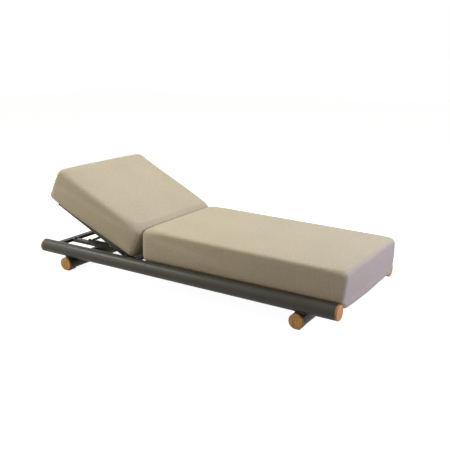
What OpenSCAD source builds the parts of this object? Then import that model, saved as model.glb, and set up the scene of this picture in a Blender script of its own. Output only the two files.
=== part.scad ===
/* [Side rails] */
// Length of the lounger over the wooden end discs
overall_l = 2000; // [1800:10:2200]
// Width of the lounger over the side rails
overall_w = 800; // [700:10:900]
// Diameter of the side rails
rail_d = 80; // [70:1:90]
// Wall of the side rails and leg tubes
tube_wall = 3; // [2:0.5:4]

/* [Leg tubes] */
// Diameter of the two leg tubes that lie across under the rails
leg_d = 80; // [70:1:90]
// Distance from each end of the lounger to the axis of its leg tube
leg_inset = 210; // [150:5:300]
// Height of the floor glides under the leg tubes
glide_h = 3; // [2:0.5:5]

/* [Wooden end discs] */
// Thickness of the visible disc
disc_t = 12; // [8:1:16]
// Depth of the spigot that plugs into the tube
spigot_l = 18; // [10:1:30]

/* [Inner frame] */
// Height of the top of the inner frame, where the seat cushion lies
deck_z = 126; // [120:1:130]
// Width of the crossbars and of the head bar
bar_w = 36; // [30:1:44]
// Depth of the crossbars and long bars
bar_h = 20; // [16:1:22]
// Distance between the outer faces of the two long bars
long_bar_span = 364; // [340:2:400]
// Width of a seat slat
seat_slat_w = 50; // [40:2:60]
// Number of rows of seat slats
seat_slat_rows = 6; // [4:1:7]

/* [Backrest] */
// Distance from the end of the lounger to the backrest's head end, lying flat
head_room = 46; // [40:1:60]
// Height of the hinge above the inner frame
hinge_rise = 22; // [20:1:26]
// Angle at which the backrest stands in the rack
rest_angle = 25; // [20:1:30]
// Highest angle that the rack allows
top_angle = 45; // [40:1:45]
// Length of the backrest bars from the hinge
back_bar_l = 593; // [570:1:600]
// Depth of the backrest bars
back_bar_h = 30; // [28:1:32]
// Width of the backrest bars
back_bar_w = 25; // [20:1:26]
// Gap between the backrest and each side rail
back_frame_play = 5; // [4:0.5:12]
// Width of a backrest slat
back_slat_w = 54; // [40:2:56]

/* [Prop] */
// Distance of the prop's shaft from the hinge, and the length of the prop
prop_l = 218; // [210:1:222]
// Diameter of the prop's shaft
shaft_d = 16; // [12:1:18]
// Diameter of the rod that lies in the rack
rod_d = 12; // [10:1:14]

/* [Cushions] */
// Distance from the backrest hinge to the head face of the seat cushion
seat_inset = 146; // [144:1:160]
// Length by which the seat cushion reaches over each side rail
seat_over = 28; // [20:1:30]
// Gap between the seat cushion and each side rail
hem_play = 2; // [1:0.5:10]
// Thickness of the seat cushion at its head edge, without the crown
seat_t = 217; // [200:1:225]
// Fall of the seat cushion's top from the head to the foot
seat_fall = 19; // [0:1:24]
// Radius of the seat cushion's top edge
seat_edge_r = 34; // [25:1:45]
// Length by which the back cushion passes the head end of the backrest bars
back_over_head = 63; // [50:1:70]
// Thickness of the back cushion at its edge, without the crown
back_t = 223; // [200:1:224]
// Radius of the back cushion's top edge
back_edge_r = 46; // [40:1:55]
// Radius of the back cushion's lower edge
back_base_r = 48; // [44:1:56]
// Radius of a cushion's upright corners
corner_r = 20; // [12:1:50]
// Height of the crown in the middle of a cushion's top
crown = 8; // [4:1:12]
// Swell of a cushion's side at half its height
swell = 2; // [1:0.5:6]

/* [Hidden] */

// Fineness of round faces, and of the rounded ends in flat plates
$fn = 96;
// Overrun of every cut
cut = 2;
// Gap left where one welded or seated piece meets the next
seat_gap = 0.1;
// Radial play of a pin or shaft in its bush
run_gap = 0.06;
// Gap between flat faces that pass each other
side_gap = 0.4;

frame_colour = [0.30, 0.28, 0.25];
wood_colour = [0.78, 0.58, 0.36];
fabric_colour = [0.76, 0.71, 0.62];
plastic_colour = [0.10, 0.10, 0.10];
steel_colour = [0.62, 0.62, 0.60];

// Rails and leg tubes
rail_r = rail_d / 2;
leg_r = leg_d / 2;
rail_y = overall_w / 2 - rail_r;
leg_x = overall_l / 2 - leg_inset;
leg_z = glide_h + leg_r;
rail_z = glide_h + leg_d + rail_r;
disc_edge = 1.5;
spigot_play = 0.3;

// Glides, saddles and the bolts that hold the rails on the leg tubes
glide_l = 60;
glide_w = 34;
glide_top = 8;
plug_play = 0.4;
access_r = 10;
saddle_r = 24;
bolt_r = 5;
bolt_play = 0.5;
bolt_head_r = 8;
bolt_head_h = 6;
bolt_end = 6;
nut_h = 8;

// Inner frame
bar_wall = 2;
head_bar_inset = 38;
foot_bar_inset = 78;
hinge_bar_offset = 23;
hinge_x = overall_l / 2 - head_room - back_bar_l;
head_bar_x = head_bar_inset - overall_l / 2;
foot_bar_x = overall_l / 2 - foot_bar_inset;
hinge_bar_x = hinge_bar_offset - hinge_x;
mid_bar_x = (hinge_bar_x + foot_bar_x) / 2;
long_bar_w = 35;
long_bar_y = long_bar_span / 2 - long_bar_w / 2;
slat_t = 8;

// Hinge
back_frame_w = overall_w - 2 * rail_d - 2 * back_frame_play;
hinge_z = deck_z + hinge_rise;
pin_r = 6;
pin_head_r = 10;
pin_head_h = 4.5;
bush_wall = 3;
bush_flange_r = 12;
bracket_t = 8;
bracket_r = 15;
spacer_t = 5.2;
bracket_y = back_frame_w / 2 - back_bar_w - side_gap - spacer_t - side_gap - bracket_t;
hinge_nut_r = 9;
hinge_nut_h = 8;

// Backrest
back_wall = 2;
head_bar_w = 25;
foot_bar_w = 25;
foot_bar_start = 30;
foot_bar_h = 18;
back_slat_t = 5;
back_slat_pitch = 84;
back_slat_room = 8;
plug_t = 3;
plug_l = 15;
bumper_r = 9;
bumper_gap = 0.5;
bumper_inset = 22;

// Prop and rack
leg_t = 6;
leg_half_h = 8;
leg_eye_r = 9;
hub_r = 13;
hub_l = 22;
prop_leg_y = 179;
rod_over = 5;
collar_l = 8;
collar_r = 12;
rack_t = 8;
rack_y = 160;
rack_tip_gap = 0.5;
notch_r = 8;
notch_lift = 2;
rack_end = 22;
rack_angles = [0, 15, rest_angle, 35, top_angle];

// Cushions
seat_half_w = rail_y - rail_r + seat_over;
back_over_seat = 7;
back_half_w = seat_half_w + back_over_seat;
seat_head_x = hinge_x - seat_inset;
seat_foot_over = 22;
seat_base_r = 27;
cushion_gap = 0.4;
face_bow = 2;
back_start = -60.1;
back_cushion_l = back_bar_l + back_over_head - back_start;
crown_power = 3;
base_levels = 5;
side_levels = 4;
round_levels = 5;
crown_levels = 4;
corner_steps = 6;
side_steps = 6;
crown_shrink_share = 0.92;
corner_share = 0.8;

// Positions along the backrest: s runs from the hinge to the head, p is square to it
function back_point(s, y, p, angle = rest_angle) =
    [-hinge_x - s * cos(angle) + p * sin(angle), y, hinge_z + s * sin(angle) + p * cos(angle)];

// Place of the rod in the rack at an angle of the backrest
function rod_x(angle) = -hinge_x - 2 * prop_l * cos(angle);

// Puts a shape that is drawn flat, with its head towards -X, at the resting angle
module on_backrest() {
    translate([-hinge_x, 0, hinge_z])
        rotate([0, rest_angle, 0])
            children();
}

module along_x(r, x0, x1) {
    translate([x0, 0, 0])
        rotate([0, 90, 0])
            cylinder(r = r, h = x1 - x0);
}

module along_y(r, y0, y1) {
    translate([0, y0, 0])
        rotate([-90, 0, 0])
            cylinder(r = r, h = y1 - y0);
}

// Steel bolts hold each rail down through its saddle
module at_crossings() {
    for (x = [-leg_x, leg_x])
        for (y = [-rail_y, rail_y])
            translate([x, y, 0])
                children();
}

module side_rail(side) {
    inner_r = rail_r - tube_wall;
    half = overall_l / 2 - disc_t;
    color(frame_colour)
        difference() {
            translate([0, side * rail_y, rail_z])
                difference() {
                    along_x(rail_r, -half, half);
                    along_x(inner_r, -half - cut, half + cut);
                }
            for (x = [-leg_x, leg_x])
                translate([x, side * rail_y, rail_z - rail_r - cut])
                    cylinder(r = bolt_r + bolt_play, h = tube_wall + 2 * cut);
        }
}

module near_side_rail() { side_rail(-1); }
module far_side_rail() { side_rail(1); }

module leg_tube(end) {
    inner_r = leg_r - tube_wall;
    half = overall_w / 2 - disc_t;
    color(frame_colour)
        difference() {
            translate([end * leg_x, 0, leg_z])
                difference() {
                    along_y(leg_r, -half, half);
                    along_y(inner_r, -half - cut, half + cut);
                }
            for (y = [-rail_y, rail_y]) {
                translate([end * leg_x, y, leg_z])
                    cylinder(r = bolt_r + bolt_play, h = leg_r + cut);
                translate([end * leg_x, y, glide_h - cut])
                    cylinder(r = access_r, h = leg_r / 2);
            }
        }
}

module head_leg_tube() { leg_tube(-1); }
module foot_leg_tube() { leg_tube(1); }

// A turned disc with a broken edge and a spigot, its face at z = 0, spigot downwards
module end_disc(tube_r) {
    spigot_r = tube_r - tube_wall - spigot_play;
    color(wood_colour)
        rotate_extrude()
            polygon([
                [0, 0],
                [tube_r - disc_edge, 0],
                [tube_r, -disc_edge],
                [tube_r, -disc_t + seat_gap],
                [spigot_r, -disc_t + seat_gap],
                [spigot_r, -disc_t - spigot_l + disc_edge],
                [spigot_r - disc_edge, -disc_t - spigot_l],
                [0, -disc_t - spigot_l]]);
}

module rail_disc(side, end) {
    translate([end * overall_l / 2, side * rail_y, rail_z])
        rotate([0, end * 90, 0])
            end_disc(rail_r);
}

module leg_disc(side, end) {
    translate([end * leg_x, side * overall_w / 2, leg_z])
        rotate([-side * 90, 0, 0])
            end_disc(leg_r);
}

module near_rail_head_disc() { rail_disc(-1, -1); }
module near_rail_foot_disc() { rail_disc(-1, 1); }
module far_rail_head_disc() { rail_disc(1, -1); }
module far_rail_foot_disc() { rail_disc(1, 1); }
module near_head_leg_disc() { leg_disc(-1, -1); }
module near_foot_leg_disc() { leg_disc(-1, 1); }
module far_head_leg_disc() { leg_disc(1, -1); }
module far_foot_leg_disc() { leg_disc(1, 1); }

// A moulded pad that fits the round tube, with a plug in the tube's access hole
module floor_glides() {
    color(plastic_colour)
        at_crossings() {
            difference() {
                translate([-glide_w / 2, -glide_l / 2, 0])
                    cube([glide_w, glide_l, glide_top]);
                translate([0, 0, leg_z])
                    along_y(leg_r + seat_gap, -glide_l, glide_l);
            }
            translate([0, 0, glide_h / 2])
                cylinder(r = access_r - plug_play, h = tube_wall + glide_h / 2);
        }
}

// A ring shaped above to the rail and below to the leg tube
module rail_saddles() {
    low = leg_z + leg_r * cos(asin(saddle_r / leg_r)) - cut;
    high = rail_z - rail_r * cos(asin(saddle_r / rail_r)) + cut;
    color(plastic_colour)
        at_crossings()
            difference() {
                translate([0, 0, low])
                    cylinder(r = saddle_r, h = high - low);
                translate([0, 0, leg_z])
                    along_y(leg_r + seat_gap, -leg_r, leg_r);
                translate([0, 0, rail_z])
                    along_x(rail_r + seat_gap, -rail_r, rail_r);
                translate([0, 0, low - cut])
                    cylinder(r = bolt_r + bolt_play, h = high - low + 2 * cut);
            }
}

// Inside a round tube, a flat face of radius r seats this far from the tube's axis
function seat_in_tube(tube_r, r) = sqrt(pow(tube_r - tube_wall, 2) - r * r) - seat_gap;

module rail_bolts() {
    head_top = leg_z + seat_in_tube(leg_r, bolt_head_r);
    nut_bottom = rail_z - seat_in_tube(rail_r, bolt_head_r);
    color(steel_colour)
        at_crossings() {
            translate([0, 0, head_top - bolt_head_h])
                difference() {
                    cylinder(r = bolt_head_r, h = bolt_head_h);
                    translate([0, 0, -cut])
                        cylinder(r = bolt_r, h = bolt_head_h / 2 + cut, $fn = 6);
                }
            translate([0, 0, head_top])
                cylinder(r = bolt_r, h = nut_bottom + nut_h + bolt_end - head_top);
        }
}

module rail_nuts() {
    nut_bottom = rail_z - seat_in_tube(rail_r, bolt_head_r);
    color(steel_colour)
        at_crossings()
            translate([0, 0, nut_bottom])
                difference() {
                    cylinder(r = bolt_head_r, h = nut_h, $fn = 6);
                    translate([0, 0, -cut])
                        cylinder(r = bolt_r + run_gap, h = nut_h + 2 * cut);
                }
}

// Box tube across the lounger, its ends coped to the round rails
module crossbar(x) {
    reach = rail_y;
    difference() {
        translate([x - bar_w / 2, -reach, deck_z - bar_h])
            cube([bar_w, 2 * reach, bar_h]);
        translate([x - bar_w / 2 + bar_wall, -reach - cut, deck_z - bar_h + bar_wall])
            cube([bar_w - 2 * bar_wall, 2 * (reach + cut), bar_h - 2 * bar_wall]);
        for (side = [-1, 1])
            translate([0, side * rail_y, rail_z])
                along_x(rail_r + seat_gap, x - bar_w, x + bar_w);
    }
}

// Room that the two long bars take out of what runs across them
module long_bar_room() {
    for (side = [-1, 1])
        translate([-overall_l / 2, side * long_bar_y - long_bar_w / 2 - seat_gap, 0])
            cube([overall_l, long_bar_w + 2 * seat_gap, rail_z + rail_r]);
}

module head_crossbar() { color(frame_colour) crossbar(head_bar_x); }
module foot_crossbar() { color(frame_colour) crossbar(foot_bar_x); }

module hinge_crossbar() {
    color(frame_colour)
        difference() {
            crossbar(hinge_bar_x);
            long_bar_room();
        }
}

module mid_crossbar() {
    color(frame_colour)
        difference() {
            crossbar(mid_bar_x);
            long_bar_room();
        }
}

module long_bar(side) {
    x0 = head_bar_x + bar_w / 2 + seat_gap;
    x1 = foot_bar_x - bar_w / 2 - seat_gap;
    color(frame_colour)
        translate([0, side * long_bar_y, deck_z - bar_h / 2])
            difference() {
                translate([x0, -long_bar_w / 2, -bar_h / 2])
                    cube([x1 - x0, long_bar_w, bar_h]);
                translate([x0 - cut, -long_bar_w / 2 + bar_wall, -bar_h / 2 + bar_wall])
                    cube([x1 - x0 + 2 * cut, long_bar_w - 2 * bar_wall, bar_h - 2 * bar_wall]);
            }
}

module near_long_bar() { long_bar(-1); }
module far_long_bar() { long_bar(1); }

// Flat slats, level with the long bars, that carry the seat cushion
module seat_slats() {
    first = hinge_bar_x + bar_w / 2;
    last = foot_bar_x - bar_w / 2;
    pitch = (last - first) / (seat_slat_rows + 1);
    color(frame_colour)
        difference() {
            for (i = [1 : seat_slat_rows])
                translate([slat_x(first, pitch, i) - seat_slat_w / 2, -rail_y, deck_z - slat_t])
                    cube([seat_slat_w, 2 * rail_y, slat_t]);
            for (side = [-1, 1])
                translate([0, side * rail_y, rail_z])
                    along_x(rail_r + seat_gap, -overall_l / 2, overall_l / 2);
            long_bar_room();
        }
}

// Slats beside the middle crossbar are pushed clear of it
function slat_x(first, pitch, i) =
    let (x = first + pitch * i, room = (bar_w + seat_slat_w) / 2 + slat_t)
    abs(x - mid_bar_x) >= room ? x : mid_bar_x + (x < mid_bar_x ? -room : room);

// Upright plate with one notch for each angle of the backrest
module rack(side) {
    tip_z = hinge_z - rod_d / 2 - rack_tip_gap;
    x0 = rod_x(0) - rack_end;
    x1 = rod_x(top_angle) + rack_end;
    color(frame_colour)
        translate([0, side * rack_y - rack_t / 2, 0])
            difference() {
                translate([x0, 0, deck_z + seat_gap])
                    cube([x1 - x0, rack_t, tip_z - deck_z - seat_gap]);
                for (angle = rack_angles)
                    translate([rod_x(angle), 0, hinge_z - notch_lift])
                        along_y(notch_r, -cut, rack_t + cut);
            }
}

module near_rack() { rack(-1); }
module far_rack() { rack(1); }

// Plate that stands on the hinge crossbar and holds the pin
module hinge_bracket(side) {
    foot0 = hinge_bar_x - bar_w / 2;
    foot1 = hinge_bar_x + bar_w / 2;
    y0 = side > 0 ? bracket_y : -bracket_y - bracket_t;
    color(frame_colour)
        translate([0, y0, 0])
            difference() {
                union() {
                    translate([-hinge_x, 0, hinge_z])
                        along_y(bracket_r, 0, bracket_t);
                    translate([0, bracket_t, 0])
                        rotate([90, 0, 0])
                            linear_extrude(bracket_t)
                                polygon([
                                    [foot0, deck_z + seat_gap],
                                    [foot1, deck_z + seat_gap],
                                    [-hinge_x + bracket_r * sin(45), hinge_z + bracket_r * cos(45)],
                                    [-hinge_x - bracket_r, hinge_z]]);
                }
                translate([-hinge_x, 0, hinge_z])
                    along_y(pin_r + seat_gap, -cut, bracket_t + cut);
            }
}

module near_hinge_bracket() { hinge_bracket(-1); }
module far_hinge_bracket() { hinge_bracket(1); }

// Draws its children on the far side and mirrored on the near side, at the hinge's axis
module at_hinges() {
    for (side = [0, 1])
        mirror([0, side, 0])
            translate([-hinge_x, 0, hinge_z])
                children();
}

module hinge_pins() {
    outer = back_frame_w / 2 + side_gap + bush_wall / 2;
    inner = bracket_y - hinge_nut_h - side_gap;
    color(steel_colour)
        at_hinges() {
            along_y(pin_r, inner, outer);
            along_y(pin_head_r, outer, outer + pin_head_h);
        }
}

module hinge_nuts() {
    color(steel_colour)
        at_hinges()
            difference() {
                translate([0, bracket_y - seat_gap, 0])
                    rotate([90, 0, 0])
                        cylinder(r = hinge_nut_r, h = hinge_nut_h, $fn = 6);
                along_y(pin_r + run_gap, bracket_y - hinge_nut_h - cut, bracket_y + cut);
            }
}

module hinge_spacers() {
    y0 = bracket_y + bracket_t + side_gap / 2;
    color(plastic_colour)
        at_hinges()
            difference() {
                along_y(bush_flange_r, y0, y0 + spacer_t);
                along_y(pin_r + run_gap, y0 - cut, y0 + spacer_t + cut);
            }
}

// Rubber stops on the long bars that catch the head bar when the backrest lies flat
module stop_bumpers() {
    top = hinge_z - back_bar_h / 2 - bumper_gap;
    color(plastic_colour)
        for (side = [-1, 1])
            translate([-hinge_x - back_bar_l + bumper_inset, side * long_bar_y, deck_z + seat_gap])
                cylinder(r = bumper_r, h = top - deck_z - seat_gap);
}

// Side bar of the backrest, round about the hinge and open for a plug at its head end
module back_bar(side) {
    y0 = side > 0 ? back_frame_w / 2 - back_bar_w : -back_frame_w / 2;
    half = back_bar_h / 2;
    color(frame_colour)
        on_backrest()
            translate([0, y0, 0])
                difference() {
                    union() {
                        translate([-back_bar_l, 0, -half])
                            cube([back_bar_l, back_bar_w, back_bar_h]);
                        along_y(half, 0, back_bar_w);
                    }
                    translate([-back_bar_l - cut, back_wall, -half + back_wall])
                        cube([
                            back_bar_l + cut - back_bar_h,
                            back_bar_w - 2 * back_wall,
                            back_bar_h - 2 * back_wall]);
                    along_y(pin_r + bush_wall + seat_gap, -cut, back_bar_w + cut);
                }
}

module near_back_bar() { back_bar(-1); }
module far_back_bar() { back_bar(1); }

// Box tube between the two backrest bars
module back_cross(s0, w, h) {
    y1 = back_frame_w / 2 - back_bar_w - seat_gap;
    top = back_bar_h / 2;
    color(frame_colour)
        on_backrest()
            difference() {
                translate([-s0 - w, -y1, top - h])
                    cube([w, 2 * y1, h]);
                translate([-s0 - w + back_wall, -y1 - cut, top - h + back_wall])
                    cube([w - 2 * back_wall, 2 * (y1 + cut), h - 2 * back_wall]);
            }
}

module back_head_bar() { back_cross(back_bar_l - head_bar_w, head_bar_w, back_bar_h); }
module back_foot_bar() { back_cross(foot_bar_start, foot_bar_w, foot_bar_h); }

// Slats level with the bars, parted evenly to both sides of the prop's shaft, as many
// each way as fit between the foot bar and the head bar
module back_slats() {
    y1 = back_frame_w / 2 - back_bar_w - seat_gap;
    lowest = foot_bar_start + foot_bar_w + back_slat_room + back_slat_w / 2;
    highest = back_bar_l - head_bar_w - back_slat_room - back_slat_w / 2;
    below = floor((prop_l - lowest) / back_slat_pitch + 1 / 2);
    first = prop_l - (below - 1 / 2) * back_slat_pitch;
    color(frame_colour)
        on_backrest()
            for (i = [0 : floor((highest - first) / back_slat_pitch)])
                translate([
                    -first - i * back_slat_pitch - back_slat_w / 2,
                    -y1,
                    back_bar_h / 2 - back_slat_t])
                    cube([back_slat_w, 2 * y1, back_slat_t]);
}

// Moulded plugs that close the head ends of the backrest bars
module back_bar_plugs() {
    inner_w = back_bar_w - 2 * back_wall - 2 * seat_gap;
    inner_h = back_bar_h - 2 * back_wall - 2 * seat_gap;
    color(plastic_colour)
        on_backrest()
            for (side = [-1, 1])
                translate([-back_bar_l - seat_gap, side * (back_frame_w - back_bar_w) / 2, 0]) {
                    translate([-plug_t, -back_bar_w / 2, -back_bar_h / 2])
                        cube([plug_t, back_bar_w, back_bar_h]);
                    translate([-plug_t / 2, -inner_w / 2, -inner_h / 2])
                        cube([plug_l, inner_w, inner_h]);
                }
}

// Flanged bushes between the backrest bars and the pins
module hinge_bushes() {
    y0 = back_frame_w / 2 - back_bar_w - side_gap / 2;
    y1 = back_frame_w / 2 + seat_gap;
    color(plastic_colour)
        at_hinges()
            difference() {
                union() {
                    along_y(pin_r + bush_wall, y0, y1 + bush_wall / 2);
                    along_y(bush_flange_r, y1, y1 + bush_wall / 2);
                }
                along_y(pin_r + run_gap, y0 - cut, y1 + bush_wall + cut);
            }
}

module prop_shaft() {
    y1 = back_frame_w / 2 - back_bar_w - seat_gap;
    color(frame_colour)
        translate(back_point(prop_l, 0, 0))
            along_y(shaft_d / 2, -y1, y1);
}

// Rings pinned on the shaft on both sides of each hub
module shaft_collars() {
    color(steel_colour)
        translate(back_point(prop_l, 0, 0))
            for (side = [-1, 1])
                for (edge = [-1, 1])
                    translate([
                        0,
                        side * prop_leg_y + edge * (hub_l / 2 + side_gap + collar_l / 2),
                        0])
                        difference() {
                            along_y(collar_r, -collar_l / 2, collar_l / 2);
                            along_y(shaft_d / 2 + run_gap / 2, -collar_l, collar_l);
                        }
}

// Flat leg with a hub on the shaft and an eye on the rod
module prop_leg(side) {
    pivot = back_point(prop_l, 0, 0);
    color(frame_colour)
        translate([pivot[0], side * prop_leg_y, pivot[2]])
            rotate([0, -rest_angle, 0])
                difference() {
                    union() {
                        along_y(hub_r, -hub_l / 2, hub_l / 2);
                        translate([-prop_l, -leg_t / 2, -leg_half_h])
                            cube([prop_l, leg_t, 2 * leg_half_h]);
                        translate([-prop_l, 0, 0])
                            along_y(leg_eye_r, -leg_t / 2, leg_t / 2);
                    }
                    along_y(shaft_d / 2 + run_gap, -hub_l, hub_l);
                    translate([-prop_l, 0, 0])
                        along_y(rod_d / 2 + run_gap / 2, -hub_l, hub_l);
                }
}

module near_prop_leg() { prop_leg(-1); }
module far_prop_leg() { prop_leg(1); }

module prop_rod() {
    reach = prop_leg_y + leg_t / 2 + rod_over;
    color(frame_colour)
        translate([rod_x(rest_angle), 0, hinge_z])
            along_y(rod_d / 2, -reach, reach);
}

// One ring of a cushion, l long in all: a rounded rectangle, its ends bowed by bow[0] and
// its sides by bow[1], set out counter-clockwise; the fall runs from -X to +X
function ring(hx, hy, bow, l, z, fall) =
    let (
        r = min(corner_r, corner_share * min(hx, hy)),
        x = hx - r,
        y = hy - r,
        corners = [[x, y], [-x, y], [-x, -y], [x, -y]])
    [for (k = [0 : 3])
        let (c = corners[k], n = corners[(k + 1) % 4])
        each concat(
            [for (i = [0 : corner_steps])
                let (a = 90 * (k + i / corner_steps))
                lift(c[0] + r * cos(a), c[1] + r * sin(a), l, z, fall)],
            [for (i = [1 : side_steps - 1])
                let (
                    u = i / side_steps,
                    a = 90 * (k + 1),
                    out = r + bow[1 - k % 2] * 4 * u * (1 - u))
                lift(
                    c[0] + (n[0] - c[0]) * u + out * cos(a),
                    c[1] + (n[1] - c[1]) * u + out * sin(a), l, z, fall)])];

function lift(x, y, l, z, fall) = [x, y, z - fall * (x + l / 2) / l];

// Share of the crown that a point has, none at the border hx, hy and all in the middle
function crown_share(p, hx, hy) =
    (1 - pow(abs(p[0]) / hx, crown_power)) * (1 - pow(abs(p[1]) / hy, crown_power));

// Foam cushion in its cover, its underside flat at z = 0: lower edge drawn in as base
// lists it by [height, at the ends, at the sides], sides swollen, top edge rounded by
// edge_r, top crowned
module cushion(l, half_w, t, fall, edge_r, base) {
    per_ring = 4 * (corner_steps + side_steps);
    base_z = base[len(base) - 1][0];
    top_z = t - edge_r;
    bases = [for (b = base)
        ring(l / 2 - b[1], half_w - b[2], [face_bow, 0], l, b[0], 0)];
    sides = [for (i = [1 : side_levels - 1])
        let (u = i / side_levels, out = swell * sin(180 * u))
        ring(l / 2 + out, half_w + out, [face_bow, face_bow * u], l,
            base_z + (top_z - base_z) * u, fall * u)];
    rounds = [for (i = [0 : round_levels])
        let (a = 90 * i / round_levels, in = edge_r * (1 - cos(a)), bow = face_bow * cos(a))
        ring(l / 2 - in, half_w - in, [bow, bow], l, top_z + edge_r * sin(a), fall)];
    top_x = l / 2 - edge_r;
    top_y = half_w - edge_r;
    tops = [for (i = [1 : crown_levels])
        let (u = crown_shrink_share * i / crown_levels)
        [for (p = ring(top_x * (1 - u), top_y * (1 - u), [0, 0], l, t, fall))
            [p[0], p[1], p[2] + crown * crown_share(p, top_x, top_y)]]];
    rings = concat(bases, sides, rounds, tops);
    count = len(rings);
    points = concat([for (r = rings) each r], [[0, 0, 0], [0, 0, t + crown - fall / 2]]);
    bottom = count * per_ring;
    top = bottom + 1;
    walls = [for (j = [0 : count - 2])
        for (i = [0 : per_ring - 1])
            let (
                a = j * per_ring + i,
                b = j * per_ring + (i + 1) % per_ring,
                c = b + per_ring,
                d = a + per_ring)
            each [[a, c, b], [a, d, c]]];
    caps = [for (i = [0 : per_ring - 1])
        let (
            next = (i + 1) % per_ring,
            last = (count - 1) * per_ring)
        each [[bottom, i, next], [top, last + next, last + i]]];
    color(fabric_colour)
        polyhedron(points, concat(walls, caps));
}

// Its lower sides follow the round rails at a small distance, up to where they pass them
module seat_cushion() {
    foot_x = overall_l / 2 + seat_foot_over - face_bow - swell;
    l = foot_x + seat_head_x - face_bow - swell;
    clear_r = rail_r + hem_play;
    rise = deck_z + cushion_gap - rail_z;
    low = asin(rise / clear_r);
    high = acos((rail_y - seat_half_w) / clear_r);
    base = [for (i = [0 : base_levels])
        let (a = low + (high - low) * i / base_levels, z = clear_r * sin(a) - rise)
        [z, drawn_in(z, seat_base_r), seat_half_w - rail_y + clear_r * cos(a)]];
    translate([foot_x - l / 2, 0, deck_z + cushion_gap])
        cushion(l, seat_half_w, seat_t, seat_fall, seat_edge_r, base);
}

// How far a lower edge of radius r is drawn in at height z
function drawn_in(z, r) = z < r ? r - sqrt(r * r - pow(r - z, 2)) : 0;

module back_cushion() {
    l = back_cushion_l - 2 * (face_bow + swell);
    base = [for (i = [0 : base_levels])
        let (a = 90 * i / base_levels, in = back_base_r * (1 - sin(a)))
        [back_base_r * (1 - cos(a)), in, in]];
    on_backrest()
        translate([-back_start - back_cushion_l / 2, 0, back_bar_h / 2 + cushion_gap])
            mirror([1, 0, 0])
                cushion(l, back_half_w, back_t, 0, back_edge_r, base);
}

near_side_rail();
far_side_rail();
near_rail_head_disc();
near_rail_foot_disc();
far_rail_head_disc();
far_rail_foot_disc();
head_leg_tube();
foot_leg_tube();
near_head_leg_disc();
near_foot_leg_disc();
far_head_leg_disc();
far_foot_leg_disc();
floor_glides();
rail_saddles();
rail_bolts();
rail_nuts();
head_crossbar();
hinge_crossbar();
mid_crossbar();
foot_crossbar();
near_long_bar();
far_long_bar();
seat_slats();
near_rack();
far_rack();
near_hinge_bracket();
far_hinge_bracket();
hinge_pins();
hinge_nuts();
hinge_spacers();
stop_bumpers();
seat_cushion();
near_back_bar();
far_back_bar();
back_head_bar();
back_foot_bar();
back_slats();
back_bar_plugs();
hinge_bushes();
prop_shaft();
shaft_collars();
near_prop_leg();
far_prop_leg();
prop_rod();
back_cushion();
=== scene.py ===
import math

import bpy
import numpy as np
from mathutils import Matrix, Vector


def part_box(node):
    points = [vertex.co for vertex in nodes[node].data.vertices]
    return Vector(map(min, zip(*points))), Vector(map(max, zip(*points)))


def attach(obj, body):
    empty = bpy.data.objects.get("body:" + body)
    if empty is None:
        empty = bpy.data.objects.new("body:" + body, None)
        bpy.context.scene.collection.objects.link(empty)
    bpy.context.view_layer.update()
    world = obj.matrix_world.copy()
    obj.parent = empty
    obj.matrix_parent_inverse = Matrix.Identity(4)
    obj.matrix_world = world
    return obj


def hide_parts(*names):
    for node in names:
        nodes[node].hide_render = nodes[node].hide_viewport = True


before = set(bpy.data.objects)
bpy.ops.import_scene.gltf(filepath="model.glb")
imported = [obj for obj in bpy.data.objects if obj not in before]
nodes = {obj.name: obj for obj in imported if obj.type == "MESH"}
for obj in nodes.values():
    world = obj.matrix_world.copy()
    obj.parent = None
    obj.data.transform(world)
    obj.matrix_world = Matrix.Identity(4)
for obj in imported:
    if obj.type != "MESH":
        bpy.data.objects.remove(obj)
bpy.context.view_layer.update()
scene = bpy.context.scene
view_layer = bpy.context.view_layer

# The room: a pale floor that runs out of sight, lit by a large softbox overhead, a cooler
# one off the foot end, a smaller one high at the head end and a weak one low at the side.
# The camera stands a few steps off the foot corner, at chest height.
CAMERA_PLACE = (2.0267, -2.9451, 1.3106)
CAMERA_DOWN, CAMERA_TURN = 15.52, 32.86
CAMERA_LENS, CAMERA_SENSOR = 50.25, 36.0
NEAREST_SEEN, FARTHEST_SEEN = 0.05, 60.0

camera_data = bpy.data.cameras.new("camera")
camera_data.lens = CAMERA_LENS
camera_data.sensor_width = CAMERA_SENSOR
camera_data.clip_start = NEAREST_SEEN
camera_data.clip_end = FARTHEST_SEEN
camera = bpy.data.objects.new("camera", camera_data)
camera.location = CAMERA_PLACE
camera.rotation_euler = (math.radians(90 - CAMERA_DOWN), 0.0, math.radians(CAMERA_TURN))
scene.collection.objects.link(camera)
scene.camera = camera
scene.view_settings.view_transform = "Standard"

# Each softbox's place, the point it faces, its width and height, its watts and its colour
SOFTBOXES = {
    "overhead_softbox": ((0.5, 0.7, 3.0), (0.1, 0.0, 0.3), (3.4, 2.2), 64, (0.94, 1.0, 0.86)),
    "foot_softbox": ((4.2, 0.3, 1.8), (0.9, 0.0, 0.2), (2.2, 2.0), 112, (0.56, 0.60, 1.0)),
    "head_softbox": ((-2.4, -1.1, 2.3), (-0.5, -0.3, 0.2), (1.3, 0.9), 46, (0.96, 1.0, 0.92)),
    "side_softbox": ((-2.6, -2.6, 1.2), (-0.8, -0.3, 0.3), (1.6, 1.4), 16, (1.0, 0.98, 0.90)),
}
for lamp_name, (place, target, size, watts, colour) in SOFTBOXES.items():
    lamp_data = bpy.data.lights.new(lamp_name, "AREA")
    lamp_data.shape = "RECTANGLE"
    lamp_data.size, lamp_data.size_y = size
    lamp_data.energy = watts
    lamp_data.color = colour
    lamp = bpy.data.objects.new(lamp_name, lamp_data)
    lamp.location = place
    toward = Vector(target) - Vector(place)
    lamp.rotation_euler = toward.to_track_quat("-Z", "Y").to_euler()
    scene.collection.objects.link(lamp)


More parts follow.
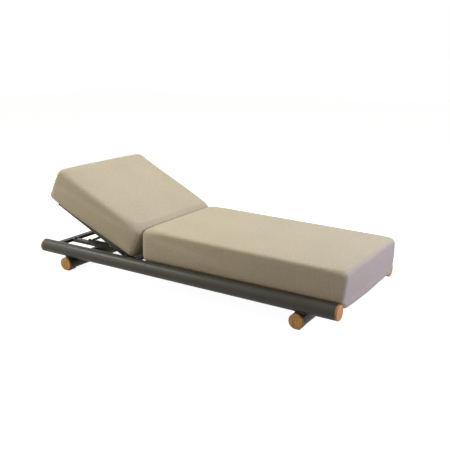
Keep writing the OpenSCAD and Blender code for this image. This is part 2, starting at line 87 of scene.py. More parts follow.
def feed(tree, node, inputs):
    """Sets a node's inputs, each to a value or linked from a socket."""
    for name, value in inputs.items():
        if isinstance(value, bpy.types.NodeSocket):
            tree.links.new(value, node.inputs[name])
        else:
            node.inputs[name].default_value = value


def put(tree, kind, inputs=None, **settings):
    """Adds a node to a tree; inputs holds values, or sockets to link from."""
    made = tree.nodes.new(kind)
    for name, value in settings.items():
        setattr(made, name, value)
    feed(tree, made, inputs or {})
    return made


def maths(tree, operation, *values):
    """A Math node's result."""
    numbered = dict(enumerate(values))
    return put(tree, "ShaderNodeMath", numbered, operation=operation).outputs[0]


# The room is white where it is seen or mirrored, and gives a weak warm fill light
ROOM_FILL, ROOM_WHITE = (0.11, 0.075, 0.03, 1.0), (1.0, 1.0, 1.0, 1.0)
world = bpy.data.worlds.new("room")
scene.world = world
world.use_nodes = True
room = world.node_tree
room.nodes.clear()
room_rays = put(room, "ShaderNodeLightPath").outputs
looked_at = maths(room, "MAXIMUM", room_rays["Is Camera Ray"], room_rays["Is Glossy Ray"])
in_sight = maths(room, "MAXIMUM", looked_at, room_rays["Is Transmission Ray"])
level = put(room, "ShaderNodeMix", {0: in_sight, 6: ROOM_FILL, 7: ROOM_WHITE},
            data_type="RGBA")
sky = put(room, "ShaderNodeBackground", {"Color": level.outputs[2]})
put(room, "ShaderNodeOutputWorld", {"Surface": sky.outputs[0]})

# The floor is a plain grey to the light, and near white where it is seen
FLOOR_REACH, FLOOR_DROP = 14.0, 0.0004
FLOOR_GREY = (0.53, 0.53, 0.53, 1.0)
FLOOR_WHITE, FLOOR_GLOW = (0.98, 0.98, 1.0, 1.0), 0.97
GLOW_MIRRORED = 0.6
floor_mesh = bpy.data.meshes.new("floor")
floor_mesh.from_pydata(
    [(x * FLOOR_REACH, y * FLOOR_REACH, -FLOOR_DROP)
     for x, y in ((-1, -1), (1, -1), (1, 1), (-1, 1))], [], [(0, 1, 2, 3)])
floor = bpy.data.objects.new("floor", floor_mesh)
scene.collection.objects.link(floor)
floor_paint = bpy.data.materials.new("pale_floor")
floor_paint.use_nodes = True
paint = floor_paint.node_tree
paint.nodes.clear()
floor_rays = put(paint, "ShaderNodeLightPath").outputs
matt = put(paint, "ShaderNodeBsdfDiffuse", {"Color": FLOOR_GREY}).outputs[0]
glow = put(paint, "ShaderNodeEmission", {"Color": FLOOR_WHITE, "Strength": FLOOR_GLOW})
glowing = put(paint, "ShaderNodeAddShader", {0: matt, 1: glow.outputs[0]}).outputs[0]
glow_share = maths(paint, "MULTIPLY_ADD", floor_rays["Is Glossy Ray"], GLOW_MIRRORED,
                   floor_rays["Is Camera Ray"])
choice = put(paint, "ShaderNodeMixShader", {0: glow_share, 1: matt, 2: glowing})
put(paint, "ShaderNodeOutputMaterial", {"Surface": choice.outputs[0]})
floor_mesh.materials.append(floor_paint)

# Side rails: two aluminium tubes of 80 mm in a dark bronze powder coat. The coat is
# sprayed on and baked, which leaves a fine pebbled skin with a soft sheen.


def group(name, inputs, outputs):
    """A shader node group with named sockets; returns it, what it is given and its end."""
    tree = bpy.data.node_groups.new(name, "ShaderNodeTree")
    kinds = {"value": "NodeSocketFloat", "vector": "NodeSocketVector"}
    for way, sockets in (("INPUT", inputs), ("OUTPUT", outputs)):
        for label, kind in sockets.items():
            tree.interface.new_socket(label, in_out=way, socket_type=kinds[kind])
    return tree, put(tree, "NodeGroupInput").outputs, put(tree, "NodeGroupOutput")


def use(tree, used, inputs):
    """Places a shader node group in a material; returns its outputs."""
    return put(tree, "ShaderNodeGroup", inputs, node_tree=used).outputs


def remap(tree, value, start, end, low=0.0, high=1.0, shape="LINEAR"):
    """A value that goes from low to high as another goes from start to end."""
    ranged = put(tree, "ShaderNodeMapRange",
                 {"Value": value, "From Min": start, "From Max": end,
                  "To Min": low, "To Max": high}, interpolation_type=shape)
    return ranged.outputs["Result"]


# Cloudy change of tone, from Low to High
mottle, given, result = group(
    "mottle", {"Coordinates": "vector", "Scale": "value", "Low": "value", "High": "value"},
    {"Value": "value"})
clouds = put(mottle, "ShaderNodeTexNoise",
             {"Vector": given["Coordinates"], "Scale": given["Scale"], "Detail": 3.0})
feed(mottle, result, {"Value": remap(mottle, clouds.outputs["Fac"], 0.3, 0.7,
                                     given["Low"], given["High"])})

# Pebbled skin of a powder coat or of moulded nylon, as a height
COARSE_GRAIN, COARSE_SHARE = 0.23, 0.6
pebble, given, result = group("pebble", {"Coordinates": "vector", "Grain": "value"},
                              {"Height": "value"})
fine = put(pebble, "ShaderNodeTexNoise",
           {"Vector": given["Coordinates"], "Scale": given["Grain"],
            "Detail": 2.0, "Roughness": 0.6})
coarse_scale = maths(pebble, "MULTIPLY", given["Grain"], COARSE_GRAIN)
coarse = put(pebble, "ShaderNodeTexNoise",
             {"Vector": given["Coordinates"], "Scale": coarse_scale, "Detail": 1.0})
feed(pebble, result, {"Height": maths(pebble, "MULTIPLY_ADD", coarse.outputs["Fac"],
                                      COARSE_SHARE, fine.outputs["Fac"])})


def mottled(tree, where, scale, low, high):
    """A cloudy value between low and high, with scale clouds or so to the metre."""
    return use(tree, mottle, {"Coordinates": where, "Scale": scale,
                              "Low": low, "High": high})["Value"]


def pebbled(tree, where, grain):
    """The height of a pebbled skin."""
    return use(tree, pebble, {"Coordinates": where, "Grain": grain})["Height"]


def finish_of(name, **sockets):
    """A material with its Principled shader's uniform sockets set; returns its parts."""
    made = bpy.data.materials.new(name)
    made.use_nodes = True
    tree = made.node_tree
    shader = tree.nodes["Principled BSDF"]
    for label, value in sockets.items():
        shader.inputs[label.replace("_", " ")].default_value = value
    where = put(tree, "ShaderNodeTexCoord").outputs["Object"]
    return made, tree, shader, where


def tint(tree, colour, amount):
    """A colour darkened or lightened by a value round 1."""
    return put(tree, "ShaderNodeVectorMath", {0: colour, "Scale": amount},
               operation="SCALE").outputs[0]


def bump(tree, shader, height, distance, strength):
    """Feeds a height in as the shader's bump."""
    raised = put(tree, "ShaderNodeBump",
                 {"Height": height, "Distance": distance, "Strength": strength})
    feed(tree, shader, {"Normal": raised.outputs["Normal"]})


BRONZE = (0.060, 0.054, 0.040)


def powder_coat(name):
    """The bronze powder coat, with a cloudy tone and a pebbled skin."""
    made, tree, shader, where = finish_of(name, Specular_IOR_Level=0.3)
    colour = tint(tree, BRONZE, mottled(tree, where, 9.0, 0.93, 1.08))
    feed(tree, shader, {"Base Color": colour,
                        "Roughness": mottled(tree, where, 26.0, 0.36, 0.47)})
    bump(tree, shader, pebbled(tree, where, 900.0), 0.0002, 0.5)
    return made, tree, shader, where, colour


def dress(names, material):
    """Gives CAD nodes their finish."""
    for name in names:
        mesh = nodes[name].data
        mesh.materials.clear()
        mesh.materials.append(material)


bronze_coat = powder_coat("bronze_powder_coat")[0]
dress(["near_side_rail", "far_side_rail"], bronze_coat)

# Wooden end discs: turned from plain-sawn teak with the grain upright, oiled, and
# pushed into the tubes on a spigot. Their faces are coloured darker round the broken edge.
TEAK_DARK, TEAK_PALE = (0.52, 0.245, 0.080, 1), (0.84, 0.49, 0.20, 1)
TEAK_MIDDLE = (0.73, 0.38, 0.135, 1)
GRAIN_WAVER, GRAIN_STRETCH = (0.012, 0.012, 0.012), (1.0, 1.0, 0.09)
DISC_EDGE_FROM, DISC_EDGE_TO, DISC_EDGE_TONE = 0.0372, 0.0395, 0.74


def teak(name, centre, across):
    """Oiled teak for mirrored discs round centre; across is 1 along a disc's face."""
    made, tree, shader, where = finish_of(name, Specular_IOR_Level=0.2)
    flow = put(tree, "ShaderNodeTexNoise", {"Vector": where, "Scale": 14.0, "Detail": 2.0})
    bent = put(tree, "ShaderNodeVectorMath",
               {0: flow.outputs["Color"], 1: GRAIN_WAVER, 2: where}, operation="MULTIPLY_ADD")
    drawn = put(tree, "ShaderNodeMapping",
                {"Vector": bent.outputs[0], "Scale": GRAIN_STRETCH}).outputs[0]
    rings = put(tree, "ShaderNodeTexNoise",
                {"Vector": drawn, "Scale": 150.0, "Detail": 3.0, "Roughness": 0.55})
    pores = put(tree, "ShaderNodeTexNoise", {"Vector": drawn, "Scale": 900.0, "Detail": 1.0})
    ring_ramp = put(tree, "ShaderNodeValToRGB", {"Fac": rings.outputs["Fac"]})
    dark, pale = ring_ramp.color_ramp.elements
    dark.position, dark.color = 0.34, TEAK_DARK
    pale.position, pale.color = 0.66, TEAK_PALE
    ring_ramp.color_ramp.elements.new(0.5).color = TEAK_MIDDLE
    pore = remap(tree, pores.outputs["Fac"], 0.30, 0.42, 0.72, 1.0)
    sides = put(tree, "ShaderNodeVectorMath", {0: where}, operation="ABSOLUTE")
    offset = put(tree, "ShaderNodeVectorMath", {0: sides.outputs[0], 1: centre},
                 operation="SUBTRACT")
    flat = put(tree, "ShaderNodeVectorMath", {0: offset.outputs[0], 1: across},
               operation="MULTIPLY")
    radius = put(tree, "ShaderNodeVectorMath", {0: flat.outputs[0]}, operation="LENGTH")
    edge = remap(tree, radius.outputs["Value"], DISC_EDGE_FROM, DISC_EDGE_TO,
                 1.0, DISC_EDGE_TONE, "SMOOTHSTEP")
    colour = tint(tree, ring_ramp.outputs["Color"], maths(tree, "MULTIPLY", pore, edge))
    feed(tree, shader, {"Base Color": colour,
                        "Roughness": mottled(tree, drawn, 180.0, 0.48, 0.64)})
    grain = maths(tree, "ADD", pores.outputs["Fac"], rings.outputs["Fac"])
    bump(tree, shader, grain, 0.0004, 0.5)
    return made


rail_teak = teak("teak_of_rail_discs", (0.0, 0.36, 0.123), (0.0, 1.0, 1.0))
leg_teak = teak("teak_of_leg_discs", (0.79, 0.0, 0.043), (1.0, 0.0, 1.0))
dress(["near_rail_head_disc", "near_rail_foot_disc", "far_rail_head_disc",
       "far_rail_foot_disc"], rail_teak)
dress(["near_head_leg_disc", "near_foot_leg_disc", "far_head_leg_disc",
       "far_foot_leg_disc"], leg_teak)

# Leg tubes: the same tube as the rails, laid across under them. Black nylon saddles fill
# the crossing, a stainless bolt and nut pull it tight, and nylon glides take the floor.
dress(["head_leg_tube", "foot_leg_tube"], bronze_coat)


def moulding(name, colour, grain, rough):
    """Moulded nylon or rubber, matt, with a grained skin."""
    made, tree, shader, where = finish_of(name, Specular_IOR_Level=0.4)
    tone = mottled(tree, where, 60.0, 0.85, 1.2)
    gloss = mottled(tree, where, 90.0, rough - 0.06, rough + 0.06)
    feed(tree, shader, {"Base Color": tint(tree, colour, tone), "Roughness": gloss})
    bump(tree, shader, pebbled(tree, where, grain), 0.0002, 0.6)
    return made


black_nylon = moulding("black_nylon", (0.022, 0.022, 0.023), 1400.0, 0.5)
dress(["floor_glides", "rail_saddles"], black_nylon)

# Turned stainless steel: fine lines run round, and the sheen changes with them
STAINLESS, TURNED_STRETCH = (0.56, 0.55, 0.53), (1.0, 0.06, 1.0)
stainless, tree, shader, where = finish_of("stainless_steel", Metallic=1.0)
turned = put(tree, "ShaderNodeMapping", {"Vector": where, "Scale": TURNED_STRETCH})
lines = put(tree, "ShaderNodeTexNoise",
            {"Vector": turned.outputs[0], "Scale": 1600.0, "Detail": 2.0}).outputs["Fac"]
feed(tree, shader, {"Base Color": tint(tree, STAINLESS,
                                       mottled(tree, where, 120.0, 0.86, 1.04)),
                    "Roughness": remap(tree, lines, 0.0, 1.0, 0.22, 0.42)})
bump(tree, shader, lines, 0.00004, 0.5)
dress(["rail_bolts", "rail_nuts"], stainless)

# Inner frame: box tube crossbars coped to the rails, two long bars and flat slats, all
# welded and then coated. The rack plates stand on the long bars, worn where the rod drops in.
dress(["head_crossbar", "hinge_crossbar", "mid_crossbar", "foot_crossbar", "near_long_bar",
       "far_long_bar", "seat_slats", "near_hinge_bracket", "far_hinge_bracket"], bronze_coat)

BARE_METAL, BARE_SHINE = (0.34, 0.33, 0.31, 1), 0.8
RACK_WEAR_FROM, RACK_WEAR_TO = 0.1385, 0.1412


def worn_coat(name, axis, start, end):
    """The powder coat, rubbed bare in patches as one coordinate goes from start to end."""
    made, tree, shader, where, colour = powder_coat(name)
    apart = put(tree, "ShaderNodeSeparateXYZ", {0: where})
    along = maths(tree, "ABSOLUTE", apart.outputs[axis])
    zone = remap(tree, along, start, end, shape="SMOOTHSTEP")
    patch = mottled(tree, where, 320.0, -0.55, 0.9)
    bare = remap(tree, maths(tree, "ADD", zone, patch), 0.95, 1.15)
    worn = put(tree, "ShaderNodeMix", {0: bare, 6: colour, 7: BARE_METAL}, data_type="RGBA")
    feed(tree, shader, {"Base Color": worn.outputs[2],
                        "Metallic": maths(tree, "MULTIPLY", bare, BARE_SHINE)})
    return made


dress(["near_rack", "far_rack"], worn_coat("rack_coat", "Z", RACK_WEAR_FROM, RACK_WEAR_TO))
black_rubber = moulding("black_rubber", (0.018, 0.018, 0.018), 700.0, 0.7)
dress(["stop_bumpers"], black_rubber)


def path_tree():
    """Geometry nodes that set rounded beads along every path, end to end."""
    tree = bpy.data.node_groups.new("beads_along_paths", "GeometryNodeTree")
    for label, kind in (("Paths", "NodeSocketGeometry"), ("Pitch", "NodeSocketFloat"),
                        ("Bead", "NodeSocketVector"), ("Finish", "NodeSocketMaterial")):
        tree.interface.new_socket(label, in_out="INPUT", socket_type=kind)
    tree.interface.new_socket("Beads", in_out="OUTPUT", socket_type="NodeSocketGeometry")
    asked = put(tree, "NodeGroupInput").outputs
    curve = put(tree, "GeometryNodeMeshToCurve", {"Mesh": asked["Paths"]})
    points = put(tree, "GeometryNodeCurveToPoints",
                 {"Curve": curve.outputs[0], "Length": asked["Pitch"]}, mode="LENGTH")
    bead = put(tree, "GeometryNodeMeshUVSphere", {"Segments": 8, "Rings": 6, "Radius": 0.5})
    soft = put(tree, "GeometryNodeSetShadeSmooth", {"Geometry": bead.outputs[0]})
    row = put(tree, "GeometryNodeInstanceOnPoints",
              {"Points": points.outputs["Points"], "Instance": soft.outputs[0],
               "Rotation": points.outputs["Rotation"], "Scale": asked["Bead"]})
    real = put(tree, "GeometryNodeRealizeInstances", {"Geometry": row.outputs[0]})
    coated = put(tree, "GeometryNodeSetMaterial",
                 {"Geometry": real.outputs[0], "Material": asked["Finish"]})
    put(tree, "NodeGroupOutput", {"Beads": coated.outputs[0]})
    return tree


bead_tree = path_tree()
WELD_PITCH, WELD_BEAD = 0.0024, (0.0042, 0.0042, 0.0034)


def made_plain(piece):
    """Turns a piece with live modifiers into its finished mesh."""
    view_layer.update()
    seen = piece.evaluated_get(bpy.context.evaluated_depsgraph_get())
    piece.data = bpy.data.meshes.new_from_object(seen)
    piece.modifiers.clear()


def weld_along(name, paths, body):
    """Runs a weld's beads along paths, as one plain mesh that rides on a body."""
    points, edges = [], []
    for path in paths:
        start = len(points)
        points += [tuple(p) for p in path]
        edges += [(i, i + 1) for i in range(start, len(points) - 1)]
    mesh = bpy.data.meshes.new(name)
    mesh.from_pydata(points, edges, [])
    piece = bpy.data.objects.new(name, mesh)
    scene.collection.objects.link(piece)
    run = piece.modifiers.new("beads", "NODES")
    run.node_group = bead_tree
    asked = {"Pitch": WELD_PITCH, "Bead": WELD_BEAD, "Finish": bronze_coat}
    for item in bead_tree.interface.items_tree:
        if item.name in asked:
            run[item.identifier] = asked[item.name]
    made_plain(piece)
    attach(piece, body)


RAIL_Y, RAIL_Z, RAIL_R = 0.360, 0.123, 0.040
DECK_Z, BAR_H, SLAT_T = 0.126, 0.020, 0.008
BAR_UNDER, SLAT_BELOW = DECK_Z - BAR_H, DECK_Z - SLAT_T
LONG_BAR_EDGES = (0.147, 0.182)
UPRIGHT_FROM, UPRIGHT_TO, UPRIGHT_STEPS = 0.108, 0.1245, 6
BAR_INSET, SLAT_INSET = 0.002, 0.003
RACK_WELD, RACK_WELD_PITCH, RACK_WELD_FIRST, RACK_WELD_LAST = 0.024, 0.055, 0.01, 0.03
BOTH_SIDES = (-1, 1)
bar_boxes = {name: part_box(name) for name in
             ("head_crossbar", "hinge_crossbar", "mid_crossbar", "foot_crossbar")}


def rail_side(z):
    """How far from the middle a rail's inner side is at a height."""
    return RAIL_Y - math.sqrt(RAIL_R ** 2 - (z - RAIL_Z) ** 2)


def upright(x, y):
    """A weld up the corner where a long bar meets a crossbar."""
    return [(x, y, UPRIGHT_FROM), (x, y, UPRIGHT_TO)]


# Crossbars to the rails, up both faces and along the underside
welds = []
for low, high in bar_boxes.values():
    for x in (low.x, high.x):
        for side in BOTH_SIDES:
            welds.append([(x, side * rail_side(z), z)
                          for z in np.linspace(UPRIGHT_FROM, UPRIGHT_TO, UPRIGHT_STEPS)])
    for side in BOTH_SIDES:
        y = side * rail_side(BAR_UNDER)
        welds.append([(low.x + BAR_INSET, y, BAR_UNDER), (high.x - BAR_INSET, y, BAR_UNDER)])
# Long bars through the two middle crossbars, and butted to the outer two
for name in ("hinge_crossbar", "mid_crossbar"):
    low, high = bar_boxes[name]
    for x in (low.x, high.x):
        for y in LONG_BAR_EDGES:
            welds += [upright(x, side * y) for side in BOTH_SIDES]
for x in (bar_boxes["head_crossbar"][1].x, bar_boxes["foot_crossbar"][0].x):
    for side in BOTH_SIDES:
        inner, outer = (side * y for y in LONG_BAR_EDGES)
        welds += [upright(x, inner), upright(x, outer),
                  [(x, inner, BAR_UNDER), (x, outer, BAR_UNDER)]]
# Seat slats, under their edges
slat_xs = sorted({round(v.co.x, 4) for v in nodes["seat_slats"].data.vertices})
for x0, x1 in zip(slat_xs[::2], slat_xs[1::2]):
    for y in (rail_side(SLAT_BELOW), *LONG_BAR_EDGES):
        for side in BOTH_SIDES:
            welds.append([(x0 + SLAT_INSET, side * y, SLAT_BELOW),
                          (x1 - SLAT_INSET, side * y, SLAT_BELOW)])
# Racks, in short runs along both faces, and hinge brackets
for rack in ("near_rack", "far_rack"):
    low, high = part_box(rack)
    for y in (low.y, high.y):
        for x in np.arange(low.x + RACK_WELD_FIRST, high.x - RACK_WELD_LAST, RACK_WELD_PITCH):
            welds.append([(x, y, low.z), (x + RACK_WELD, y, low.z)])
for bracket in ("near_hinge_bracket", "far_hinge_bracket"):
    low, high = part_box(bracket)
    x0, x1 = (corner.x for corner in bar_boxes["hinge_crossbar"])
    for y in (low.y, high.y):
        welds.append([(x0 + BAR_INSET, y, low.z), (x1 - BAR_INSET, y, low.z)])
weld_along("frame_welds", welds, "base")

# Hinge: a stainless pin with a locking nut on each side, held in the bracket. A nylon
# spacer and a flanged bush keep the backrest bar from rubbing.
dress(["hinge_pins", "hinge_nuts"], stainless)
dress(["hinge_spacers", "hinge_bushes"], black_nylon)

# Backrest: two side bars, a head bar and a foot bar of box tube with flat slats between
# them, welded on their hidden sides. Nylon plugs close the bars at the head.
dress(["near_back_bar", "far_back_bar", "back_head_bar", "back_foot_bar", "back_slats"],
      bronze_coat)
dress(["back_bar_plugs"], black_nylon)

HINGE_X, HINGE_Z, LEAN = -0.361, 0.148, math.radians(25)


def on_back(s, y, p):
    """A point s up the backrest from its hinge, y across, p square to it."""
    return (HINGE_X - s * math.cos(LEAN) + p * math.sin(LEAN), y,
            HINGE_Z + s * math.sin(LEAN) + p * math.cos(LEAN))


# Places up the backrest and square to it, as s and p of on_back
BACK_BAR_INNER, SLAT_UNDER, BAR_WELD_TOP = 0.290, 0.010, 0.009
SLAT_MIDDLES, HALF_SLAT_WELD = (0.092, 0.176, 0.260, 0.344, 0.428, 0.512), 0.024
BAR_FACES = ((0.030, -0.003), (0.055, -0.003), (0.568, -0.015))
BAR_UNDERSIDES = ((0.032, 0.053, -0.003), (0.570, 0.591, -0.015))
back_runs = [((middle - HALF_SLAT_WELD, SLAT_UNDER), (middle + HALF_SLAT_WELD, SLAT_UNDER))
             for middle in SLAT_MIDDLES]
back_runs += [((s, p), (s, BAR_WELD_TOP)) for s, p in BAR_FACES]
back_runs += [((s0, p), (s1, p)) for s0, s1, p in BAR_UNDERSIDES]
weld_along("backrest_welds", [[on_back(s, side * BACK_BAR_INNER, p) for s, p in run]
                              for run in back_runs for side in BOTH_SIDES], "backrest")

# Prop: a solid shaft across the backrest, two flat legs with hubs that swing on it, and
# a rod that drops into the rack. The rod is worn bright where it lies in the notches.
ROD_WEAR_FROM, ROD_WEAR_TO = 0.166, 0.158
dress(["prop_shaft", "near_prop_leg", "far_prop_leg"], bronze_coat)
dress(["prop_rod"], worn_coat("rod_coat", "Y", ROD_WEAR_FROM, ROD_WEAR_TO))
dress(["shaft_collars"], stainless)

# Seat cushion: a block of quick-dry foam in a cover of plain-woven outdoor fabric. The top
# runs down the sides in one piece, sewn up the four corners and to a base panel.

# Plain weave: warp and weft pass over each other by turns, as a height and a tone
# The tone is the yarns' slub, with painted shade on the lower yarns and a faint painted
# highlight on the raised ones
weave, given, result = group("plain_weave", {"Coordinates": "vector", "Pitch": "value"},
                             {"Height": "value", "Tone and painted shade": "value"})
turns = maths(weave, "DIVIDE", 1.0, given["Pitch"])
yarns = put(weave, "ShaderNodeVectorMath", {0: given["Coordinates"], "Scale": turns},
            operation="SCALE").outputs[0]
apart = put(weave, "ShaderNodeSeparateXYZ", {0: yarns}).outputs
warp, weft = (maths(weave, "ABSOLUTE", maths(weave, "SINE", maths(
    weave, "MULTIPLY", apart[way], math.pi))) for way in (0, 1))
squares = maths(weave, "ADD", *(maths(weave, "FLOOR", apart[way]) for way in (0, 1)))
weft_over = maths(weave, "FLOORED_MODULO", squares, 2.0)
warp_up, weft_up = (
    maths(weave, "MULTIPLY", over, maths(weave, "MULTIPLY_ADD", beneath, 0.5, 0.5))
    for over, beneath in ((warp, weft), (weft, warp)))
rise = put(weave, "ShaderNodeMix", {0: weft_over, 2: warp_up, 3: weft_up}).outputs[0]
slub = put(weave, "ShaderNodeTexNoise", {"Vector": yarns, "Scale": 0.11, "Detail": 3.0})
# The tone multiplies the slub by painted shade: lower yarns darker, raised yarns a little
# lighter as a painted highlight
feed(weave, result, {"Height": rise, "Tone and painted shade": maths(
    weave, "MULTIPLY", remap(weave, slub.outputs["Fac"], 0.3, 0.7, 0.90, 1.08),
    remap(weave, rise, 0.0, 1.0, 0.80, 1.06))})

# A turned-in seam by the distance from it: a narrow groove, with the cloth gathered beside it,
# and painted shade darkening the groove
GROOVE_FROM, GROOVE_TO, GROOVE_PAINTED_SHADE = 0.0003, 0.0022, 0.62
GATHER_REACH, GATHER_HEIGHT = 0.016, 0.9
seam_line, given, result = group("seam_line", {"Coordinates": "vector", "Distance": "value"},
                                 {"Height": "value", "Tone and painted shade": "value"})
groove = remap(seam_line, given["Distance"], GROOVE_FROM, GROOVE_TO, shape="SMOOTHSTEP")
near = remap(seam_line, given["Distance"], 0.0, GATHER_REACH, 1.0, 0.0)
gathers = put(seam_line, "ShaderNodeTexNoise",
              {"Vector": given["Coordinates"], "Scale": 110.0, "Detail": 1.0})
pucker = maths(seam_line, "MULTIPLY",
               maths(seam_line, "MULTIPLY", near, gathers.outputs["Fac"]), GATHER_HEIGHT)
# The groove's tone is painted shade, darkest down in the groove
feed(seam_line, result, {"Height": maths(seam_line, "ADD", groove, pucker),
                         "Tone and painted shade": remap(seam_line, groove, 0.0, 1.0, GROOVE_PAINTED_SHADE, 1.0)})

SAND, YARN_PITCH, SEAM_RELIEF = (0.64, 0.545, 0.405), 0.0011, 4.0


def outdoor_fabric(name):
    """Sand-coloured plain weave on the piece's own UV map, with seams and a faint fuzz."""
    made, tree, shader, where = finish_of(name, Specular_IOR_Level=0.2, Sheen_Weight=0.18,
                                          Sheen_Roughness=0.45, Roughness=0.9)
    cloth = put(tree, "ShaderNodeUVMap", uv_map="cloth").outputs[0]
    seam = put(tree, "ShaderNodeAttribute", attribute_name="seam").outputs["Fac"]
    threads = use(tree, weave, {"Coordinates": cloth, "Pitch": YARN_PITCH})
    sewn = use(tree, seam_line, {"Coordinates": where, "Distance": seam})
    # The weave's tone carries painted shade between the yarns into the cloth's colour
    weave_tone_and_shade = maths(tree, "MULTIPLY", threads["Tone and painted shade"], mottled(tree, where, 3.5, 0.97, 1.03))
    # Painted shade in the seam grooves darkens the cloth's colour as well
    tone = maths(tree, "MULTIPLY", weave_tone_and_shade, sewn["Tone and painted shade"])
    feed(tree, shader, {"Base Color": tint(tree, SAND, tone)})
    height = maths(tree, "MULTIPLY_ADD", sewn["Height"], SEAM_RELIEF, threads["Height"])
    bump(tree, shader, height, 0.0003, 0.7)
    return made


sand_fabric = outdoor_fabric("sand_outdoor_fabric")


def block_shell(counts):
    """A block's six sides as lattice points, faces outwards and each face's axis and end."""
    index, points, faces, panels = {}, [], [], []
    for axis in range(3):
        u, v = (axis + 1) % 3, (axis + 2) % 3
        for side in (0, counts[axis]):
            for i in range(counts[u]):
                for j in range(counts[v]):
                    face = []
                    for di, dj in ((0, 0), (1, 0), (1, 1), (0, 1)):
                        p = [0, 0, 0]
                        p[axis], p[u], p[v] = side, i + di, j + dj
                        face.append(index.setdefault(tuple(p), len(index)))
                        if len(index) > len(points):
                            points.append(p)
                    faces.append(face if side else face[::-1])
                    panels.append((axis, 1 if side else -1))
    return np.array(points, float), faces, panels


# How closely the lattice crowds to the edges, how far from an upright corner the top is
# blunted, and the share of a level's half width that a corner's radius may take
CROWDING, BLUNT_REACH, CORNER_SHARE = 0.4, 0.07, 0.8
# The least radius and length that anything is divided by
LEAST_RADIUS, LEAST_LENGTH = 1e-6, 1e-9


class Block:
    """A block's lattice in metres, crowded towards its edges, its middle over the origin."""

    def __init__(self, counts, size):
        points, self.faces, self.panels = block_shell(counts)
        part = points / np.array(counts)
        part -= CROWDING * np.sin(2 * np.pi * part) / (2 * np.pi)
        self.half, self.thick = np.array(size[:2]) / 2, size[2]
        self.flat, self.z = (2 * part[:, :2] - 1) * self.half, part[:, 2] * self.thick
        self.gap = self.half - np.abs(self.flat)
        self.depth = self.gap.min(axis=1)

    def levels(self, shape, under):
        """Each point's reach, height and share of the side's height, and its top radius."""
        half, depth, x = self.half, self.depth, self.flat[:, 0]
        edge = np.interp(x, *zip(*shape["edge"]))
        edge = edge + shape["blunt"] * np.exp(-(self.gap.max(axis=1) / BLUNT_REACH) ** 2)
        base, top = under(0.0, x)[2], self.thick - edge
        down = np.arctan2(np.maximum(base - self.z, 0), np.maximum(base - depth, 0))
        up = np.arctan2(np.maximum(self.z - top, 0), np.maximum(edge - depth, 0))
        at_ends, at_sides, low = under(down, x)
        drawn = np.stack([at_ends, at_sides], 1) + (edge * (1 - np.cos(up)))[:, None]
        rim = np.where(self.z < base, base, edge)[:, None]
        drawn += np.maximum(depth[:, None] - rim, 0) * (half - drawn) / (half - rim)
        height = np.where(self.z < base, low, np.minimum(self.z, top) + edge * np.sin(up))
        risen = np.clip((height - base) / (top - base), 0, 1)
        reach = half - drawn + (shape["swell"] * np.sin(np.pi * risen))[:, None]
        return reach, height, risen, edge

    def cornered(self, reach, corner):
        """Its points spread to their reach, round the upright corners' radius."""
        radius = np.clip(CORNER_SHARE * reach.min(axis=1), LEAST_RADIUS, corner)[:, None]
        spot = reach * self.flat / np.maximum(self.half - self.depth[:, None], LEAST_RADIUS)
        core = np.clip(spot, radius - reach, reach - radius)
        out = (spot - core) / radius
        longest = np.maximum(np.linalg.norm(out, axis=1, keepdims=True), LEAST_LENGTH)
        return core + radius * out / longest * np.abs(out).max(axis=1, keepdims=True)

    def formed(self, shape, under):
        """Its points bent to a cushion; under gives the lower edge for turns to 90 degrees."""
        reach, height, risen, edge = self.levels(shape, under)
        spot = self.cornered(reach, shape["corner"])
        fx, fy = (spot / self.half).T
        (low_bow, high_bow), (head_lean, foot_lean) = shape["bow"], shape["lean"]
        bow = (shape["firm"] * fx < 0) * (low_bow + (high_bow - low_bow) * risen)
        skew = shape["skew"] * (1 - risen)
        lean = np.where(self.flat[:, 0] > 0, foot_lean, head_lean) * risen
        spot[:, 0] += bow * fx ** 3 * (1 - fy ** 2)
        spot[:, 0] += lean * fx ** 3
        spot[:, 0] += skew * np.maximum(fx, 0) ** 3 * np.maximum(fy, 0) ** 2
        spot[:, 1] += high_bow * fy ** 3 * (1 - fx ** 2) * risen
        inner = np.clip(1 - np.abs(spot / (self.half - edge[:, None])) ** 3, 0, 1)
        on_top = self.z > self.thick - edge
        height = height + shape["crown"] * on_top * inner[:, 0] * inner[:, 1]
        height -= shape["fall"] * risen * (fx + 1) / 2
        return np.column_stack([spot, height])

    def sewn(self, name, form):
        """A mesh of the formed points with the cloth's UV map and the distance from a seam."""
        mesh = bpy.data.meshes.new(name)
        mesh.from_pydata(form.tolist(), [], self.faces)
        uv = []
        for face, (axis, end) in zip(self.faces, self.panels):
            for i in face:
                laid = self.flat[i].copy()
                if axis < 2:
                    laid[axis] += end * (self.thick - self.z[i])
                uv += [*laid]
        mesh.uv_layers.new(name="cloth").data.foreach_set("uv", uv)
        seam = np.minimum(self.gap.max(axis=1), self.z + self.depth)
        mesh.attributes.new("seam", "FLOAT", "POINT").data.foreach_set("value", seam)
        mesh.update()
        return mesh


def coordinates(mesh):
    """A mesh's points as rows of x, y and z."""
    flat = np.zeros(len(mesh.vertices) * 3)
    mesh.vertices.foreach_get("co", flat)
    return flat.reshape(-1, 3)


# How much of the firm end stays still as the cover is stuffed, the steps that the cloth
# takes, and the farthest that a point may move
FIRM_DEPTH, CLOTH_STEPS, MOST_MOVED = 0.02, 20, 0.003


